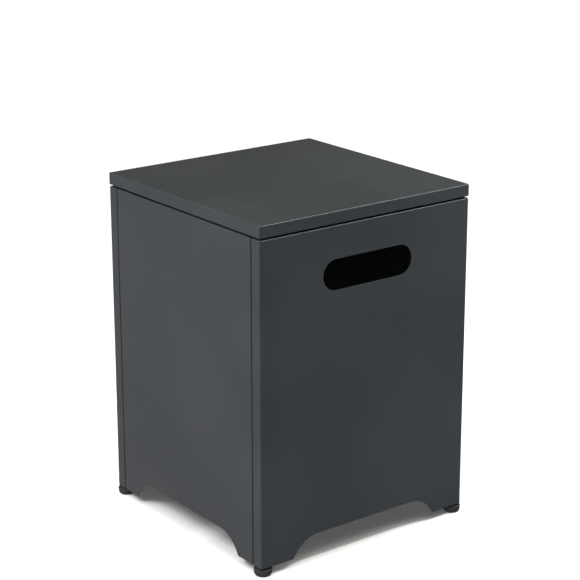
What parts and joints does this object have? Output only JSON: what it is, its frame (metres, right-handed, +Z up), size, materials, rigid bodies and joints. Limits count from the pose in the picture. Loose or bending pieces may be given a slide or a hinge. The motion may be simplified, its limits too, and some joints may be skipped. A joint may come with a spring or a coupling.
{
  "type": "propane tank cover table",
  "caption": "Square sheet-steel cabinet that drops over a gas bottle, with a lift-off lid as a side table, hand slots in two faces and levelling feet.",
  "frame": {"origin": "on the floor under the middle of the cabinet", "axes": "+Z up, the front face with its hand slot looks along -Y, +X to the right seen from the front"},
  "size_m": [0.4082, 0.4082, 0.546],
  "materials": {
    "powder_coat": "satin dark grey powder coat",
    "zinc_plate": "bright zinc plate",
    "black_rubber": "matt black moulded rubber"
  },
  "bodies": {
    "cabinet": {"front_panel": "powder_coat", "rear_panel": "powder_coat", "left_side_panel": "powder_coat", "right_side_panel": "powder_coat", "foot_bracket_front_left": "powder_coat", "foot_bracket_front_right": "powder_coat", "foot_bracket_rear_right": "powder_coat", "foot_bracket_rear_left": "powder_coat", "foot_nut_front_left": "zinc_plate", "foot_nut_front_right": "zinc_plate", "foot_nut_rear_right": "zinc_plate", "foot_nut_rear_left": "zinc_plate", "seam_screw_front_left_1": "zinc_plate", "seam_screw_front_left_2": "zinc_plate", "seam_screw_front_left_3": "zinc_plate", "seam_screw_front_right_1": "zinc_plate", "seam_screw_front_right_2": "zinc_plate", "seam_screw_front_right_3": "zinc_plate", "seam_screw_rear_right_1": "zinc_plate", "seam_screw_rear_right_2": "zinc_plate", "seam_screw_rear_right_3": "zinc_plate", "seam_screw_rear_left_1": "zinc_plate", "seam_screw_rear_left_2": "zinc_plate", "seam_screw_rear_left_3": "zinc_plate", "seam_nut_front_left_1": "zinc_plate", "seam_nut_front_left_2": "zinc_plate", "seam_nut_front_left_3": "zinc_plate", "seam_nut_front_right_1": "zinc_plate", "seam_nut_front_right_2": "zinc_plate", "seam_nut_front_right_3": "zinc_plate", "seam_nut_rear_right_1": "zinc_plate", "seam_nut_rear_right_2": "zinc_plate", "seam_nut_rear_right_3": "zinc_plate", "seam_nut_rear_left_1": "zinc_plate", "seam_nut_rear_left_2": "zinc_plate", "seam_nut_rear_left_3": "zinc_plate"},
    "lid": {"lid_tray": "powder_coat", "lid_stiffener_front": "powder_coat", "lid_stiffener_rear": "powder_coat", "lid_locator_front": "powder_coat", "lid_locator_right": "powder_coat", "lid_locator_rear": "powder_coat", "lid_locator_left": "powder_coat", "lid_buffer_front_left": "black_rubber", "lid_buffer_front_right": "black_rubber", "lid_buffer_rear_right": "black_rubber", "lid_buffer_rear_left": "black_rubber"},
    "pad_front_left": {"foot_pad_front_left": "black_rubber"},
    "pad_front_right": {"foot_pad_front_right": "black_rubber"},
    "pad_rear_right": {"foot_pad_rear_right": "black_rubber"},
    "pad_rear_left": {"foot_pad_rear_left": "black_rubber"},
    "stud_front_left": {"foot_stud_front_left": "zinc_plate"},
    "stud_front_right": {"foot_stud_front_right": "zinc_plate"},
    "stud_rear_right": {"foot_stud_rear_right": "zinc_plate"},
    "stud_rear_left": {"foot_stud_rear_left": "zinc_plate"}
  },
  "joints": [
    {"name": "lid_lift", "type": "slide", "parent": "cabinet", "child": "lid", "axis": [0, 0, 1], "range_m": [0, 0.12]},
    {"name": "foot_travel_front_left", "type": "slide", "parent": "cabinet", "child": "pad_front_left", "axis": [0, 0, -1], "range_m": [0, 0.01]},
    {"name": "foot_travel_front_right", "type": "slide", "parent": "cabinet", "child": "pad_front_right", "axis": [0, 0, -1], "range_m": [0, 0.01]},
    {"name": "foot_travel_rear_right", "type": "slide", "parent": "cabinet", "child": "pad_rear_right", "axis": [0, 0, -1], "range_m": [0, 0.01]},
    {"name": "foot_travel_rear_left", "type": "slide", "parent": "cabinet", "child": "pad_rear_left", "axis": [0, 0, -1], "range_m": [0, 0.01]},
    {"name": "stud_turn_front_left", "type": "hinge", "parent": "pad_front_left", "child": "stud_front_left", "pos_m": [-0.1899, -0.1899, 0.02], "axis": [0, 0, -1], "range_deg": [0, 2880]},
    {"name": "stud_turn_front_right", "type": "hinge", "parent": "pad_front_right", "child": "stud_front_right", "pos_m": [0.1899, -0.1899, 0.02], "axis": [0, 0, -1], "range_deg": [0, 2880]},
    {"name": "stud_turn_rear_right", "type": "hinge", "parent": "pad_rear_right", "child": "stud_rear_right", "pos_m": [0.1899, 0.1899, 0.02], "axis": [0, 0, -1], "range_deg": [0, 2880]},
    {"name": "stud_turn_rear_left", "type": "hinge", "parent": "pad_rear_left", "child": "stud_rear_left", "pos_m": [-0.1899, 0.1899, 0.02], "axis": [0, 0, -1], "range_deg": [0, 2880]}
  ],
  "couplings": [
    {"joint": "foot_travel_front_left", "follows": "stud_turn_front_left", "m_per_rad": 0.00019894},
    {"joint": "foot_travel_front_right", "follows": "stud_turn_front_right", "m_per_rad": 0.00019894},
    {"joint": "foot_travel_rear_right", "follows": "stud_turn_rear_right", "m_per_rad": 0.00019894},
    {"joint": "foot_travel_rear_left", "follows": "stud_turn_rear_left", "m_per_rad": 0.00019894}
  ]
}
